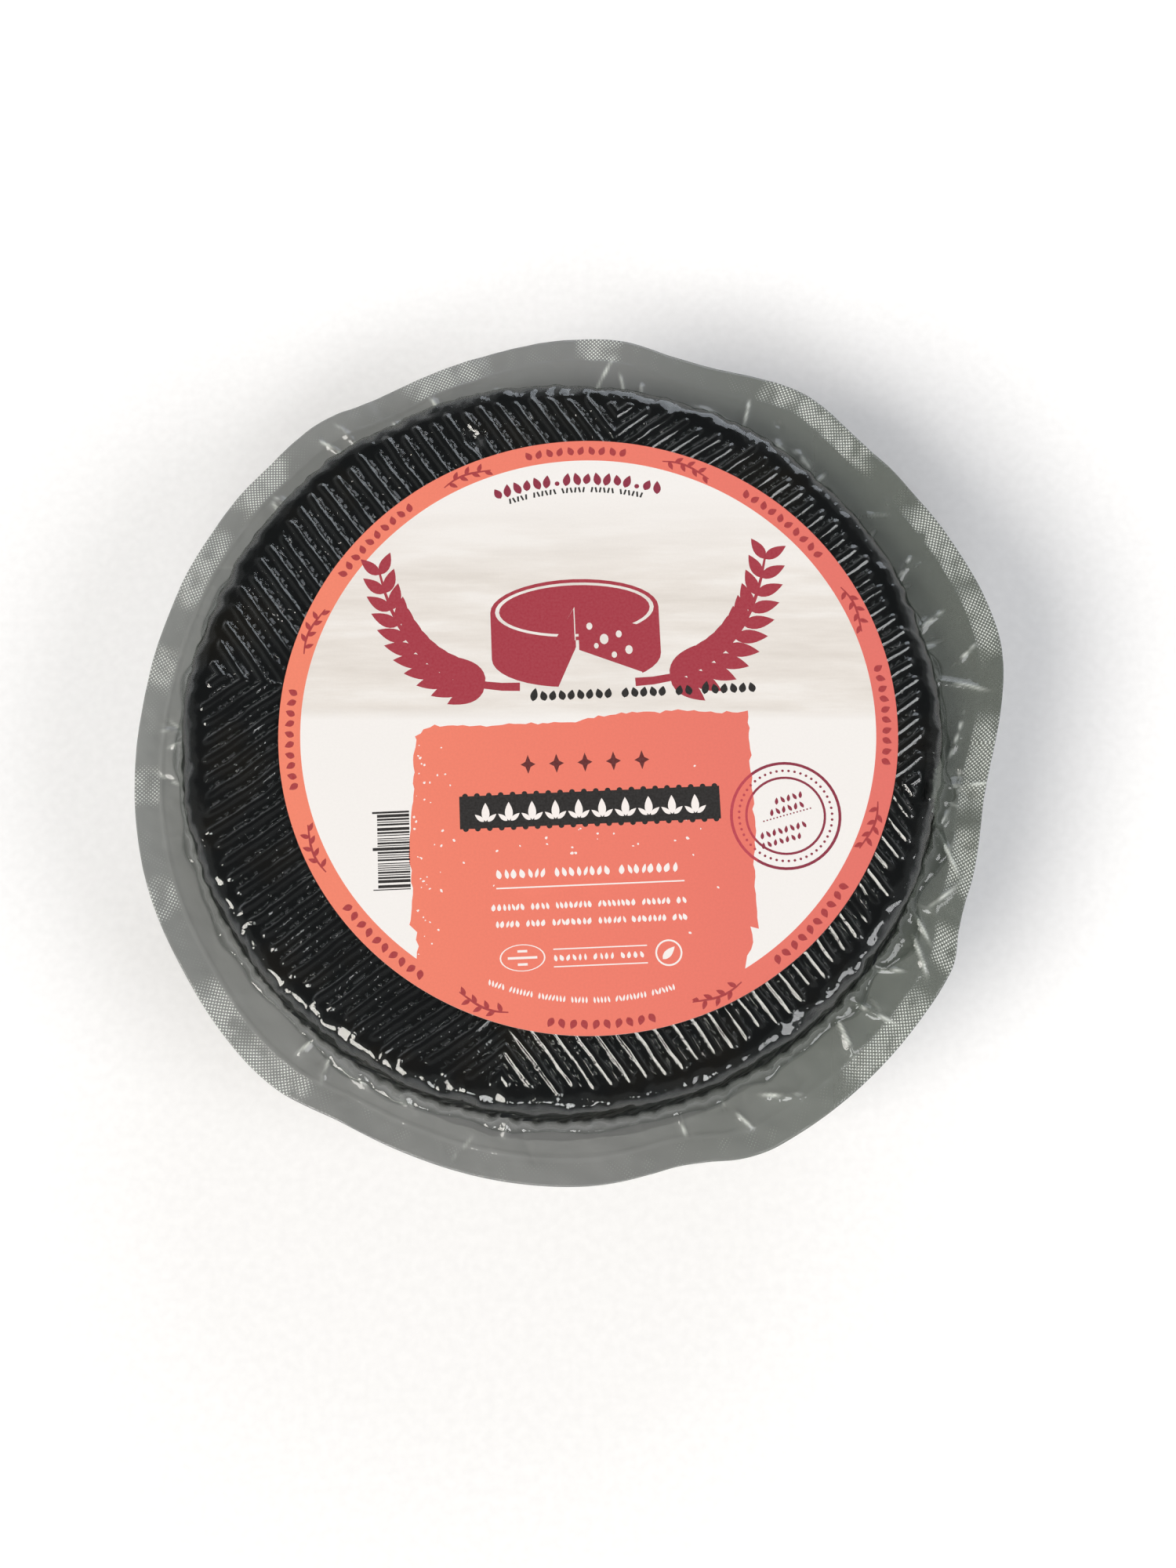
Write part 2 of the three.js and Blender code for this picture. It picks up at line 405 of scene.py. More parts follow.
def vacuumFilm(name, tint, rippleSize, bubbleStrength, knurl=False):
    # extruded PA/PE vacuum film, drawn tight: clear and glossy with fine ripples and trapped
    # air; the haze attribute turns it to the dull grey of webs welded together, with painted shade towards +X
    material, tree = newMaterial(name)
    place = addNode(tree, "ShaderNodeTexCoord").outputs["Object"]
    ripple = addNode(tree, "ShaderNodeTexNoise", {"Scale": 1 / rippleSize, "Detail": 2.0}, {"Vector": place})
    bump = addNode(tree, "ShaderNodeBump", {"Strength": 0.4, "Distance": 0.0005},
                   {"Height": ripple.outputs["Fac"]})
    bubbles = addNode(tree, "ShaderNodeTexVoronoi", {"Scale": 1 / 0.0016}, {"Vector": place},
                      feature="SMOOTH_F1")
    bead = addNode(tree, "ShaderNodeMapRange", {"From Max": 0.32, "To Min": 1.0, "To Max": 0.0},
                   {"Value": bubbles.outputs["Distance"]})
    bump = addNode(tree, "ShaderNodeBump", {"Strength": bubbleStrength, "Distance": 0.0004},
                   {"Height": bead.outputs["Result"], "Normal": bump.outputs["Normal"]})
    trapped = addNode(tree, "ShaderNodeAttribute", attribute_name="trappedAir").outputs["Fac"]
    air = addNode(tree, "ShaderNodeTexNoise", {"Scale": 1 / 0.0014, "Detail": 0.0}, {"Vector": place})
    blobs = addNode(tree, "ShaderNodeMapRange", {"From Min": 0.47, "From Max": 0.56},
                    {"Value": air.outputs["Fac"]})
    blobs = addNode(tree, "ShaderNodeMath", links={0: blobs.outputs["Result"], 1: trapped},
                    operation="MULTIPLY")
    bump = addNode(tree, "ShaderNodeBump", {"Strength": 0.8, "Distance": 0.0005},
                   {"Height": blobs.outputs["Value"], "Normal": bump.outputs["Normal"]})
    haze = addNode(tree, "ShaderNodeAttribute", attribute_name="haze").outputs["Fac"]
    # the haze grey runs greener and darker towards +X; the darkening is painted shade
    split = addNode(tree, "ShaderNodeSeparateXYZ", links={"Vector": place})
    across = addNode(tree, "ShaderNodeMapRange", {"From Min": -0.13, "From Max": 0.13},
                     {"Value": split.outputs["X"]})
    tone = addNode(tree, "ShaderNodeValToRGB", links={"Fac": across.outputs["Result"]},
                   stops=film["weldGreyAndShadeTones"])
    frost = addNode(tree, "ShaderNodeBsdfDiffuse", links={
        "Color": tone.outputs["Color"], "Normal": bump.outputs["Normal"]})
    clear = addNode(tree, "ShaderNodeBsdfTransparent", {"Color": toLinear(tint)})
    if knurl:
        bump, dots = knurlBump(tree, bump)
    body = addNode(tree, "ShaderNodeMixShader", links={
        0: haze, 1: clear.outputs["BSDF"], 2: frost.outputs["BSDF"]})
    if knurl:
        # the knurl dots and crease crests painted white: painted highlight
        dull = addNode(tree, "ShaderNodeBsdfDiffuse", {"Color": toLinear(film["knurlGlintTone"])},
                       {"Normal": bump.outputs["Normal"]})
        body = addNode(tree, "ShaderNodeMixShader", links={
            0: dots, 1: body.outputs["Shader"], 2: dull.outputs["BSDF"]})
    gloss = addNode(tree, "ShaderNodeBsdfGlossy", {"Roughness": film["gloss"]},
                    {"Normal": bump.outputs["Normal"]})
    fresnel = addNode(tree, "ShaderNodeFresnel", {"IOR": film["index"]}, {"Normal": bump.outputs["Normal"]})
    mirror = addNode(tree, "ShaderNodeMath", {1: film["mostGloss"]}, {0: fresnel.outputs["Fac"]},
                     operation="MINIMUM")
    skin = addNode(tree, "ShaderNodeMixShader", links={
        0: mirror.outputs["Value"], 1: body.outputs["Shader"], 2: gloss.outputs["BSDF"]})
    addNode(tree, "ShaderNodeOutputMaterial", links={"Surface": skin.outputs["Shader"]})
    return material


def knurlBump(tree, below):
    # the sealing bar's dot print, finer on the real weld and drawn at 1.25 mm so that it shows; the dots
    # where the knurl catches the light and the sharpest crease crests are painted white, as painted highlight
    along = addNode(tree, "ShaderNodeUVMap", uv_map="alongFlange").outputs["UV"]
    split = addNode(tree, "ShaderNodeSeparateXYZ", links={"Vector": along})
    waves = []
    for axis in ("X", "Y"):
        scaled = addNode(tree, "ShaderNodeMath", {1: 2 * math.pi / 1.25}, {0: split.outputs[axis]},
                         operation="MULTIPLY")
        waves.append(addNode(tree, "ShaderNodeMath", links={0: scaled.outputs["Value"]}, operation="SINE"))
    dots = addNode(tree, "ShaderNodeMath", links={0: waves[0].outputs["Value"], 1: waves[1].outputs["Value"]},
                   operation="MULTIPLY")
    band = addNode(tree, "ShaderNodeAttribute", attribute_name="sealBandAndGlint")
    height = addNode(tree, "ShaderNodeMath", links={0: dots.outputs["Value"], 1: band.outputs["Fac"]},
                     operation="MULTIPLY")
    bump = addNode(tree, "ShaderNodeBump", {"Strength": 0.6, "Distance": 0.0003},
                   {"Height": height.outputs["Value"], "Normal": below.outputs["Normal"]})
    raised = addNode(tree, "ShaderNodeMapRange", {"From Min": 0.1, "From Max": 0.6, "To Max": 0.8},
                     {"Value": height.outputs["Value"]})
    # the sharpest crease crests are painted white as well: painted highlight
    creaseGlint = addNode(tree, "ShaderNodeAttribute", attribute_name="creaseGlint").outputs["Fac"]
    white = addNode(tree, "ShaderNodeMath", links={0: raised.outputs["Result"], 1: creaseGlint},
                    operation="MAXIMUM")
    return bump, white.outputs["Value"]


# The wheel

def buildWheel():
    inset = 0.25
    rows = faceRows(inset, ridge["foot"], 3, 17, True)
    rows += edgeRows(inset, 7, True)
    high, low = pack["height"] - pack["edgeRound"], pack["edgeRound"]
    rows += [wallRow(inset, plait["foot"], z) for z in wallHeights(high, low, 24)[1:-1]]
    rows += edgeRows(inset, 6, False)[::-1]
    rows += faceRows(inset, ridge["foot"], 3, 7, False)[::-1]
    points = np.array(rows)
    angle = np.arctan2(points[..., 1], points[..., 0])
    radius = np.hypot(points[..., 0], points[..., 1])
    cut = radius - chipDepth(angle, radius, points[..., 2])
    points[..., 0] = cut * np.cos(angle)
    points[..., 1] = cut * np.sin(angle)
    faces = gridFaces(len(rows), columns)
    return meshPiece("cheese_wheel_rind", points.reshape(-1, 3), faces, "cheese_wheel",
                     [coatedRind()])


buildWheel()
print("wheel made,", columns, "columns")


# The flange, where both webs are welded

flange = {
    "thickness": 0.36,
    "rows": 30,
    "columns": 1320,
    "bandWidth": 8.0,  # the knurled weld along the trimmed edge
    "foldWidth": 0.45,  # the raised line where the weld begins
    "foldHeight": 0.3,
    "faintKnurl": 0.12,
    # how white the sharpest crease crests are painted: painted highlight
    "glintStrength": 0.75,
    "printRadius": 130.0,  # the knurl is laid out along a circle of this radius
    "randomCreases": 150,
    # where the knurl catches the light, so that its dots are painted white there as painted highlight: angle,
    # half width in degrees, strength
    "knurled": ((138, 5, 1), (153, 6, 0.9), (169, 3.5, 0.6), (107, 6, 0.8), (85, 3, 0.9), (59, 3, 0.7),
                (54, 2.5, 0.9), (48, 5, 0.8), (29, 6, 1), (17, 5, 0.8), (357, 7, 0.9), (343, 5, 0.9),
                (331, 3, 0.8), (317, 7, 1), (219, 4, 0.9), (229, 6, 0.7), (202, 3, 0.6), (186, 3, 0.5)),
    # creases: angle, distance from the wall, slant from radial in degrees, half length, height
    "creases": ((138, 3, 10, 4, 1.4), (139.5, 4, -15, 3, 1.2), (127, 8, 20, 5, 1.0), (124, 8, 10, 5, 1.2),
                (117, 2.5, 0, 2.5, 1.2), (110, 5, 15, 3, 1.2), (84, 9, -20, 6, 1.0), (81, 6, 20, 4, 0.9),
                (78, 5, 15, 3, 1.2), (69, 3, 85, 5, 1.4), (66, 4, 80, 6, 1.6), (62, 10, 15, 4, 1.2),
                (55, 5, 75, 3, 1.2), (51, 6, 80, 4, 1.4), (47, 4, 0, 3, 0.8), (28, 6, 35, 5, 1.3),
                (19, 5, 20, 6, 1.4), (13, 13, 30, 4, 1.2), (9, 8, -20, 8, 1.4), (1, 6, 70, 7, 1.2),
                (354, 10, 10, 8, 1.2), (348, 3, 70, 4, 1.2), (344, 6, -50, 8, 1.5), (338, 10, 60, 6, 1.2),
                (333, 4, -35, 8, 1.8), (329, 9, -40, 7, 1.6), (324, 4, 30, 5, 1.3), (318, 8, 15, 8, 1.3),
                (313, 8, -20, 6, 1.3), (301, 10, 60, 5, 1.0), (295, 11, 20, 3, 1.1), (287, 6, 0, 3, 1.0),
                (275, 2, 80, 4, 0.8), (262, 3, 0, 2.5, 1.0), (246, 2, 70, 5, 1.2), (239, 3, 75, 6, 1.4),
                (235, 6, 20, 4, 1.2), (231, 4, -10, 4, 1.3), (180, 3, 20, 3, 1.0), (178, 5, 0, 3, 0.9)),
}


def cadEdge():
    # the trimmed edge as the frame has it: angle, radius and height of its outermost points
    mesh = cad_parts["sealed_flange"].data
    co = np.array([v.co for v in mesh.vertices]) / mm
    angle = np.arctan2(co[:, 1], co[:, 0])
    radius = np.hypot(co[:, 0], co[:, 1])
    found = {}
    for a, r, z in zip(np.round(angle, 3), radius, co[:, 2]):
        if a not in found or r > found[a][0] + 0.01:
            found[a] = (r, z)
        elif abs(r - found[a][0]) <= 0.01:
            found[a] = (r, (z + found[a][1]) / 2)
    order = sorted(found)
    return np.array(order), np.array([found[a][0] for a in order]), np.array([found[a][1] for a in order])


edgeAngles, edgeRadii, edgeHeights = cadEdge()


def roundInterp(angle, knots, values):
    # smooth closed curve through values at angles
    count = len(knots)
    turn = 2 * math.pi
    angle = (angle - knots[0]) % turn + knots[0]
    i = np.searchsorted(knots, angle, side="right") - 1
    after = (i + 1) % count
    step = (knots[after] - knots[i]) % turn
    t = (angle - knots[i]) / step
    p0, p1, p2, p3 = values[i - 1], values[i], values[after], values[(i + 2) % count]
    return 0.5 * (2 * p1 + (p2 - p0) * t + (2 * p0 - 5 * p1 + 4 * p2 - p3) * t ** 2
                  + (3 * p1 - p0 - 3 * p2 + p3) * t ** 3)


def flangeTop(angle, out):
    # the flange's middle surface, for out = 0 at the wall to 1 at the edge: its radius and
    # height, the distance in from the edge and how white the crease crests are painted, a painted highlight
    edge = roundInterp(angle, edgeAngles, edgeRadii)
    lift = roundInterp(angle, edgeAngles, edgeHeights) - pack["sealHeight"]
    root = wallRadius(pack["sealHeight"]) - 0.4
    radius = root + out * (edge - root)
    rise, paintedGlint = folds(angle, radius - root, edge - radius)
    return radius, pack["sealHeight"] + lift * out ** 2 + rise, edge - radius, paintedGlint


def creaseList():
    # the creases above, and many small ones between them, most where the pack is most wrinkled
    dice = np.random.default_rng(5)
    found = [(a, away, slant, half, 1.25 * height, 1.1) for a, away, slant, half, height in flange["creases"]]
    for _ in range(flange["randomCreases"]):
        angle = dice.uniform(0, 360) if dice.uniform() < 0.6 else dice.uniform(-70, 40)
        slant = dice.normal(0, 22) if dice.uniform() < 0.7 else dice.normal(80, 15)
        width = dice.uniform(0.6, 1.8)
        found.append((angle, dice.uniform(0.5, 15), slant, dice.uniform(1, 5),
                      width * dice.uniform(-0.6, 0.6), width))
    return found


def folds(angle, fromWall, inward):
    # creases left by the vacuum, sharp along their crests, and a soft unevenness between;
    # the second result is how much the sharpest crests are painted white, a painted highlight for their
    # glints
    total, paintedGlint = np.zeros(angle.shape), np.zeros(angle.shape)
    for middle, away, slant, half, height, width in creaseList():
        arc = ((angle - math.radians(middle) + math.pi) % (2 * math.pi) - math.pi) * 122
        near = np.abs(arc) < half + 8
        cos, sin = math.cos(math.radians(slant)), math.sin(math.radians(slant))
        along = (fromWall[near] - away) * cos + arc[near] * sin
        across = -(fromWall[near] - away) * sin + arc[near] * cos
        crest = np.exp(-np.sqrt(across ** 2 + 0.1) / width) * np.exp(-(along / half) ** 4)
        total[near] += height * crest
        line = np.exp(-(across / 0.45) ** 2) * np.exp(-(along / half) ** 4)
        line = line * smoothStep(0.45, 1.3, abs(height))
        paintedGlint[near] = np.maximum(paintedGlint[near], line)
    total *= smoothStep(0.2, 2.0, fromWall) * (0.35 + 0.65 * smoothStep(0, 5, inward))
    point = np.stack([120 * np.cos(angle), 120 * np.sin(angle), fromWall], -1)
    soft = 0.35 * unevenness(point, 9.0, 41) + 0.09 * unevenness(point, 3.0, 43)
    paintedGlint *= np.clip(0.6 + 0.6 * unevenness(point, 1.6, 44), 0, 1)
    return total + smoothStep(0, 8, fromWall) * soft, paintedGlint


def buildFlange():
    count = flange["columns"]
    angle = np.linspace(0, 2 * math.pi, count, endpoint=False)
    rows, marks, along, paintedGlints = [], [], [], []
    steps = np.linspace(0, 1, flange["rows"])
    for side, order in ((1, steps), (-1, steps[::-1])):
        for out in order:
            radius, z, inward, paintedGlint = flangeTop(angle, np.full(count, out))
            paintedGlints.append(flange["glintStrength"] * paintedGlint)
            fold = np.exp(-((inward - flange["bandWidth"]) / flange["foldWidth"]) ** 2)
            z = z + flange["foldHeight"] * fold + side * flange["thickness"] / 2 * (1 if out < 1 else 0.5)
            rows.append(np.stack([radius * np.cos(angle), radius * np.sin(angle), z], -1))
            patch = np.full(count, flange["faintKnurl"])
            # the knurl's relief and its painted-white highlight are strongest in these patches
            for middle, half, strength in flange["knurled"]:
                away = (angle - math.radians(middle) + math.pi) % (2 * math.pi) - math.pi
                patch = np.maximum(patch, strength * np.exp(-(away / math.radians(half)) ** 4))
            patch = patch * (1 + 0.4 * unevenness(rows[-1] * (1, 1, 0), 3.0, 42))
            band = smoothStep(0, 1.5, flange["bandWidth"] - inward)
            marks.append(np.clip(patch, 0, 1) * band)
            along.append(np.stack([angle * flange["printRadius"], inward], -1))
    rows.append(rows[0])
    marks.append(marks[0])
    along.append(along[0])
    paintedGlints.append(paintedGlints[0])
    faces = gridFaces(len(rows), count)
    material = vacuumFilm("welded PA/PE film, knurled", film["weldTint"], 0.009, 0.1, knurl=True)
    piece = meshPiece("sealed_flange_film", np.array(rows).reshape(-1, 3), faces, "sealed_flange",
                      [material], weld=False,
                      marks={"sealBandAndGlint": np.array(marks).ravel(), "creaseGlint": np.array(paintedGlints).ravel(),
                             "haze": [film["weldHaze"]] * (len(rows) * count)})
    mesh = piece.data
    uv = mesh.uv_layers.new(name="alongFlange")
    flat = np.array(along).reshape(-1, 2)
    corner = np.zeros(len(mesh.loops), dtype=np.int32)
    mesh.loops.foreach_get("vertex_index", corner)
    places = flat[corner]
    faceStart = places.reshape(-1, 4, 2)
    # the face across angle 0 runs on past the end of the circle
    lap = 2 * math.pi * flange["printRadius"]
    wrap = (faceStart[..., 0].max(1) - faceStart[..., 0].min(1)) > lap / 2
    faceStart[wrap] = np.where(faceStart[wrap] < 100, faceStart[wrap] + (lap, 0), faceStart[wrap])
    uv.data.foreach_set("uv", faceStart.ravel())
    bm = bmesh.new()
    bm.from_mesh(mesh)
    bmesh.ops.remove_doubles(bm, verts=bm.verts, dist=1e-7)
    bmesh.ops.recalc_face_normals(bm, faces=bm.faces)
    bm.to_mesh(mesh)
    bm.free()
    return piece


buildFlange()
print("flange made")


# The two webs of film drawn over the wheel

web = {
    "thickness": 0.12,
    # trapped air: how far from the middle of a ridge, how wide, how much on the other side
    "airFoot": 1.45,
    "airWidth": 0.25,
    "strayAir": 0.1,
    "faceRows": 20,
    "backRows": 7,
    "hemRows": 7,
    "hemHaze": (0.0, 0.1, 0.4, 0.8, 0.75, 0.4, 0.0),
    "puckers": 150,
    "puckerHeight": 0.13,
    "hemAbove": 6.5,  # height over the seal where the upper web leaves the wall
    "hemBelow": 2.2,
    "flare": 2.9,  # how far out the web lands on the flange
    "flareSpread": 0.8,
    # tents, where the web spans from the wall to the flange: angle, half width, extra reach
    "tents": ((329, 6, 6), (318, 4, 3), (343, 4, 4), (300, 3, 2), (352, 4, 3), (68, 7, 1.5), (240, 8, 1.5)),
}


def puckers(angle, place):
    # small pleats that run over the rounded edge and down the wall
    dice = np.random.default_rng(8)
    total = np.zeros(len(angle))
    for _ in range(web["puckers"]):
        middle = dice.uniform(0, 2 * math.pi) + dice.normal(0, 0.02) * place
        width = dice.uniform(0.5, 1.6) / pack["radius"]
        away = (angle - middle + math.pi) % (2 * math.pi) - math.pi
        total += dice.uniform(-0.6, 1) * np.exp(-(away / width) ** 2)
    return web["puckerHeight"] * total


def tentReach(angle):
    reach = web["flare"] + web["flareSpread"] * unevenness(
        np.stack([110 * np.cos(angle), 110 * np.sin(angle)], -1), 8.0, 51)
    for middle, half, extra in web["tents"]:
        away = (angle - math.radians(middle) + math.pi) % (2 * math.pi) - math.pi
        reach = reach + extra * np.clip(1 - np.abs(away) / math.radians(half), 0, 1)
    return np.maximum(reach, 0.8)


def flareRows(last, side, inset, steps):
    # from the last row on the wall out to where the web lands on the flange
    rows = []
    angle = np.arctan2(last[:, 1], last[:, 0])
    radius = np.hypot(last[:, 0], last[:, 1])
    lands = wallRadius(pack["sealHeight"]) + 0.5 + tentReach(angle)
    for i in range(1, steps + 1):
        t = i / steps
        r = radius + (lands - radius) * t ** 1.8
        edge = roundInterp(angle, edgeAngles, edgeRadii)
        root = wallRadius(pack["sealHeight"]) - 0.4
        onFlange = flangeTop(angle, np.clip((r - root) / (edge - root), 0, 0.95))[1]
        landing = onFlange + side * (flange["thickness"] / 2 - 0.1 - inset * 0.5)  # just into the flange
        z = last[:, 2] + (landing - last[:, 2]) * (1 - (1 - t) ** 1.6)
        rows.append(np.stack([r * np.cos(angle), r * np.sin(angle), z], -1))
    return rows


def webSkin(inset, top):
    rows = faceRows(inset, ridge["filmFoot"], 2, web["faceRows"] if top else web["backRows"], top)
    for i, row in enumerate(edgeRows(inset, 7 if top else 5, top)):
        angle = np.arctan2(row[:, 1], row[:, 0])
        rise = puckers(angle, i / 7) * smoothStep(0, 3, i + 1)
        radius = np.hypot(row[:, 0], row[:, 1]) + rise
        rows.append(np.stack([radius * np.cos(angle), radius * np.sin(angle), row[:, 2] + 0.3 * rise], -1))
    edgeZ = pack["height"] - pack["edgeRound"] if top else pack["edgeRound"]
    hem = pack["sealHeight"] + (web["hemAbove"] if top else -web["hemBelow"])
    heights = wallHeights(max(edgeZ, hem), min(edgeZ, hem), 3 if top else 17)
    for z in (heights if top else heights[::-1])[1:]:
        row = wallRow(inset, plait["filmFoot"], z)
        angle = np.arctan2(row[:, 1], row[:, 0])
        fade = 1.0 if top else math.exp(-(z - edgeZ) / 9) + math.exp((z - hem) / 9)
        radius = np.hypot(row[:, 0], row[:, 1]) + puckers(angle, 1.0) * min(fade, 1)
        rows.append(np.stack([radius * np.cos(angle), radius * np.sin(angle), row[:, 2]], -1))
    return rows, flareRows(rows[-1], 1 if top else -1, inset, web["hemRows"])


def faceAir(rowCount, top):
    # 1 where air is trapped along the feet of the face's ridges, short of their ends
    along = faceGrid(2, web["faceRows"] if top else web["backRows"])
    step = offsetOf - np.round(offsetOf / ridge["pitch"]) * ridge["pitch"]
    foot = np.exp(-((np.abs(step) - web["airFoot"]) / web["airWidth"]) ** 2)
    side = np.where(np.isin(quarterOf, (0, 3)) == (step > 0), 1.0, web["strayAir"])
    inner = 1 - smoothStep(ridge["endRadius"] - 3, ridge["endRadius"], np.hypot(along, offsetOf))
    out = np.zeros((rowCount, columns))
    out[:len(along)] = foot * side * inner
    return out


def chipHaze(rows):
    # where the film bridges the chip there is nothing dark behind it
    angle = np.arctan2(rows[..., 1], rows[..., 0])
    radius = np.hypot(rows[..., 0], rows[..., 1])
    away = (angle - flaw["chipAngle"] + math.pi) % (2 * math.pi) - math.pi
    arc = away * pack["radius"] / (flaw["chipHalfLength"] + 1)
    edge = 109.6 + 2.0 * arc ** 2 + 0.5 * np.sin(angle * 410)
    return film["weldHaze"] * smoothStep(-0.3, 0.5, radius - edge) * (np.abs(arc) < 1.1) * (
        rows[..., 2] > pack["sealHeight"])


def buildWeb(name, node, top, material):
    # outside and inside skins, joined round the hem, so the web is one closed thin shell
    outside, outsideHem = webSkin(0.0, top)
    inside, insideHem = webSkin(web["thickness"], top)
    rows = outside + outsideHem + insideHem[::-1] + inside[::-1]
    hemHaze = [film["weldHaze"] * part for part in web["hemHaze"]]
    hazeRows = [0.0] * len(outside) + hemHaze
    hazes = np.repeat(hazeRows + hazeRows[::-1], columns)
    hazes = np.maximum(hazes, chipHaze(np.array(rows)).ravel())
    air = [faceAir(len(outside), top) if top else np.zeros((len(outside), columns))]
    air.append(np.zeros((len(outsideHem), columns)))
    air = np.concatenate(air)
    air = np.concatenate([air, air[::-1]]).ravel()
    faces = gridFaces(len(rows), columns)
    return meshPiece(name, np.array(rows).reshape(-1, 3), faces, node, [material],
                     marks={"haze": hazes, "trappedAir": air})


buildWeb("upper_film_web", "upper_film", True,
         vacuumFilm("PA/PE vacuum film over the top", film["clearTint"], 0.006, 0.12))
buildWeb("lower_film_web", "lower_film", False,
         vacuumFilm("PA/PE vacuum film round the side", film["clearTint"], 0.005, 0.2))
print("webs of film made")


# The paper label: its shapes are laid over one another and cut into one sheet

label = {
    "turn": math.radians(2.5),
    "thickness": 0.25,
    "lift": 0.17,  # how far its underside is above the ridges' height
    "gridStep": 6.0,
    "wave": 0.045,
}
labelCentre = (labelLow + labelHigh) / 2
labelRadius = (labelHigh.x - labelLow.x) / 2
inks = ["paper", "coral", "crimson", "ringRed", "wine", "sealOnCoral", "black", "maroon", "knockout"]
printed = []  # each printed shape: its ink and its outline, later ones lie on top


def lay(ink, outline):
    printed.append((inks.index(ink), [tuple(p) for p in outline]))


def inkUnder(x, y):
    # the topmost ink at each point, by counting how often a line to the left crosses each outline
    found = np.zeros(len(x), dtype=np.int32)
    for ink, outline in printed:
        px, py = np.array(outline).T
        near = np.flatnonzero((x > px.min()) & (x < px.max()) & (y > py.min()) & (y < py.max()))
        if not len(near):
            continue
        inside = np.zeros(len(near), dtype=bool)
        nx, ny = x[near], y[near]
        for ax, ay, bx, by in zip(px, py, np.roll(px, -1), np.roll(py, -1)):
            if ay == by:
                continue
            crosses = ((ay > ny) != (by > ny)) & (nx < (bx - ax) * (ny - ay) / (by - ay) + ax)
            inside ^= crosses
        found[near[inside]] = ink
    return found


def disc(x, y, radius, steps, squash=1.0):
    turns = [2 * math.pi * i / steps for i in range(steps)]
    return [(x + radius * math.cos(t), y + radius * squash * math.sin(t)) for t in turns]


def arcBand(x, y, inner, outer, start, end, steps, squash=1.0):
    # a piece of a ring between two angles in degrees
    turns = [math.radians(start + (end - start) * i / steps) for i in range(steps + 1)]
    out = [(x + outer * math.cos(t), y + outer * squash * math.sin(t)) for t in turns]
    back = [(x + inner * math.cos(t), y + inner * squash * math.sin(t)) for t in reversed(turns)]
    return out + back


def layRing(ink, x, y, radius, line, steps, squash=1.0):
    for start in (0, 180):
        lay(ink, arcBand(x, y, radius - line / 2, radius + line / 2, start, start + 180, steps, squash))


def placed(outline, x, y, turn=0.0, size=1.0):
    # an outline drawn round 0, 0, turned in degrees and moved
    cos, sin = math.cos(math.radians(turn)) * size, math.sin(math.radians(turn)) * size
    return [(x + px * cos - py * sin, y + px * sin + py * cos) for px, py in outline]


def leafShape(length, width, bend=0.0):
    # a leaf along +X, fullest at two fifths of its length
    steps = 8
    upper, lower = [], []
    for i in range(steps + 1):
        t = i / steps
        half = width / 2 * math.sin(math.pi * t ** 0.8) ** 0.9
        mid = bend * t * t
        upper.append((length * t, mid + half))
        lower.append((length * t, mid - half))
    return upper + lower[-2:0:-1]


def grainShape(width, height):
    # a small plump grain, standing up
    return placed(leafShape(height, width), 0, -height / 2, 90)


def strokeShape(points, widths):
    # a line of changing width along points
    left, right = [], []
    for i, (x, y) in enumerate(points):
        ax, ay = points[max(i - 1, 0)]
        bx, by = points[min(i + 1, len(points) - 1)]
        length = math.hypot(bx - ax, by - ay)
        nx, ny = -(by - ay) / length, (bx - ax) / length
        left.append((x + nx * widths[i] / 2, y + ny * widths[i] / 2))
        right.append((x - nx * widths[i] / 2, y - ny * widths[i] / 2))
    return left + right[::-1]


def onArc(radius, degrees):
    return radius * math.cos(math.radians(degrees)), radius * math.sin(math.radians(degrees))


def bentStem(start, control, end, steps=10):
    out = []
    for i in range(steps + 1):
        t = i / steps
        out.append(tuple((1 - t) ** 2 * a + 2 * t * (1 - t) * c + t * t * b
                         for a, c, b in zip(start, control, end)))
    return out


def borderPrint():
    # the coral ring, with long rows of grains and short leaf sprigs by turns
    half = labelRadius - 3.2
    for start in range(0, 360, 45):
        lay("coral", arcBand(0, 0, 84.2, labelRadius + 0.01, start, start + 45, 30))
    for k in range(8):
        middle = 90 + 45 * k
        for i in range(10):
            at = middle + (i - 4.5) * 2.1
            x, y = onArc(half, at)
            lay("ringRed", placed(grainShape(1.95, 3.0), x, y, at - 90 + (24 if i % 2 else -24)))
        middle += 22.5
        stem = [onArc(half - 0.5 + 0.9 * math.sin(t), middle + 5 - 10 * t / 4) for t in np.linspace(0, 4, 9)]
        lay("ringRed", strokeShape(stem, [0.35 + 0.35 * math.sin(math.pi * i / 8) for i in range(9)]))
        for i, (x, y) in enumerate(stem[1:-1]):
            side = 1 if i % 2 else -1
            lay("ringRed", placed(leafShape(2.9, 1.35), x, y, middle - 90 + side * 48))


def landscapeRow():
    # bold grains and dots on an arc at the top, over a fine row
    for i in range(17):
        at = 90 + (8 - i) * 2.24
        x, y = onArc(78.2, at)
        if i in (6, 14):
            lay("wine", disc(*onArc(77.2, at), 0.75, 10))
        else:
            grain = grainShape(2.3, 4.3 if i % 3 else 3.6)
            lay("wine", placed(grain, x, y, at - 90 + (-14 if i % 2 else 14)))
    for i in range(34):
        if i % 7 == 5:
            continue
        at = 90 + (16.5 - i) * 0.96
        x, y = onArc(74.7, at)
        lay("black", placed([(-0.28, -0.85), (0.28, -0.85), (0.28, 0.85), (-0.28, 0.85)], x, y,
                            at - 90 + (14 if i % 2 else -10)))


